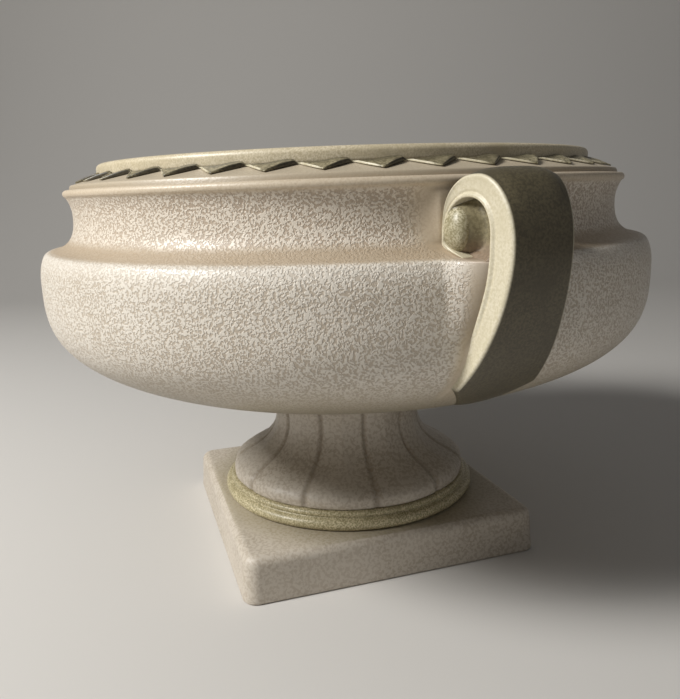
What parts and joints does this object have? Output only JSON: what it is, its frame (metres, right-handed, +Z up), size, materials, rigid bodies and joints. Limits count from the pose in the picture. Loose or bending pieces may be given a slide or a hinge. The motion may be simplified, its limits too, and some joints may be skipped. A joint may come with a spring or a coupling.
{
  "type": "jardiniere on stand",
  "caption": "Squat round ceramic planter with scroll handles and a toothed rim, set down on its own fluted stem, foot ring and square plinth.",
  "frame": {"origin": "on the floor under the middle of the square plinth", "axes": "+Z up; +X towards the handle seen in the picture, which is turned 3.5 degrees from it; the plinth's sides run along X and Y"},
  "size_m": [0.3402, 0.3042, 0.2],
  "materials": {
    "bowl_glaze": "satin cream glaze that has crawled into fine worm-like ridges over a pinkish beige body",
    "olive_glaze": "satin olive and cream glaze, paler where it runs thin on edges",
    "stand_glaze": "smooth dull beige glaze with a faint pink cast"
  },
  "bodies": {
    "stand": {"plinth": "stand_glaze", "foot_ring": "olive_glaze", "stem": "stand_glaze"},
    "planter": {"bowl": "bowl_glaze", "rim_band": "olive_glaze", "tooth_band": "olive_glaze", "handle_right": "olive_glaze", "boss_right_front": "olive_glaze", "boss_right_rear": "olive_glaze", "handle_left": "olive_glaze", "boss_left_front": "olive_glaze", "boss_left_rear": "olive_glaze"}
  },
  "joints": [
    {"name": "bowl_lift", "type": "slide", "parent": "stand", "child": "planter", "axis": [0, 0, 1], "range_m": [0, 0.06]}
  ]
}
